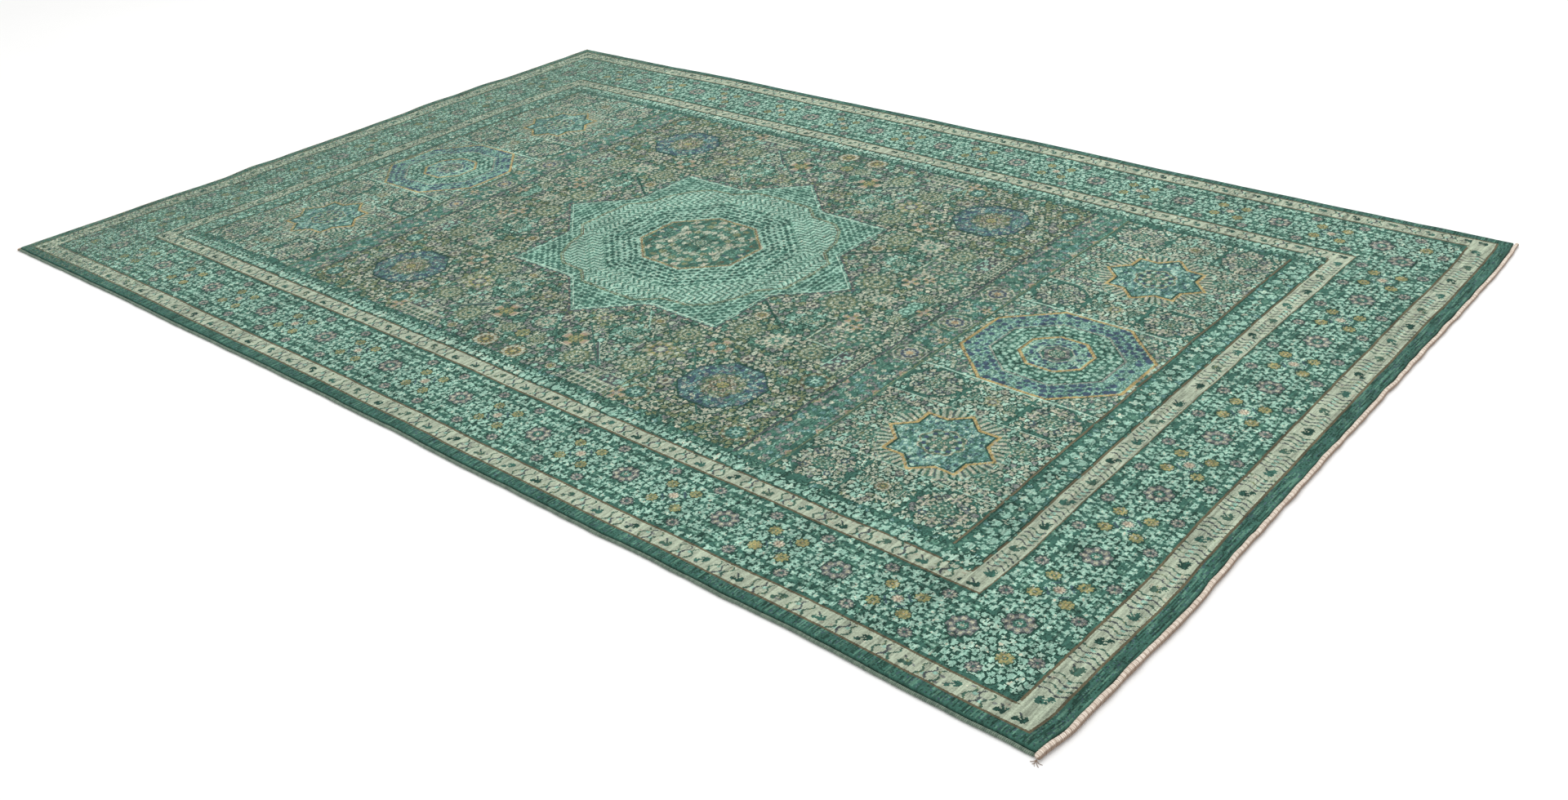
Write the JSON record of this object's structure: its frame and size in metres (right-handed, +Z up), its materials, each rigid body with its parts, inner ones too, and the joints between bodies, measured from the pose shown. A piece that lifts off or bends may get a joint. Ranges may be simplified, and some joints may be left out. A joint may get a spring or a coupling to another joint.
{
  "type": "mamluk rug",
  "caption": "Rectangular hand-knotted pile rug lying flat, with overcast cords along its long sides and whipped cords on its short ends.",
  "frame": {"origin": "on the floor under the middle of the whole rug", "axes": "+X along the rug's length, +Y across it, +Z up from the floor"},
  "size_m": [2.7634, 1.8459, 0.0112],
  "materials": {
    "pile": "clipped wool pile in teal, mint, mauve and gold yarns, matt with a soft sheen",
    "side_cord": "grey-green wool yarn overcast closely around the outermost warps",
    "end_cord": "undyed cream cotton whipped around the knotted warp ends"
  },
  "bodies": {
    "root": {"carpet": "pile", "side_cord_near": "side_cord", "side_cord_far": "side_cord", "end_cord_near": "end_cord", "end_cord_far": "end_cord"}
  },
  "joints": []
}
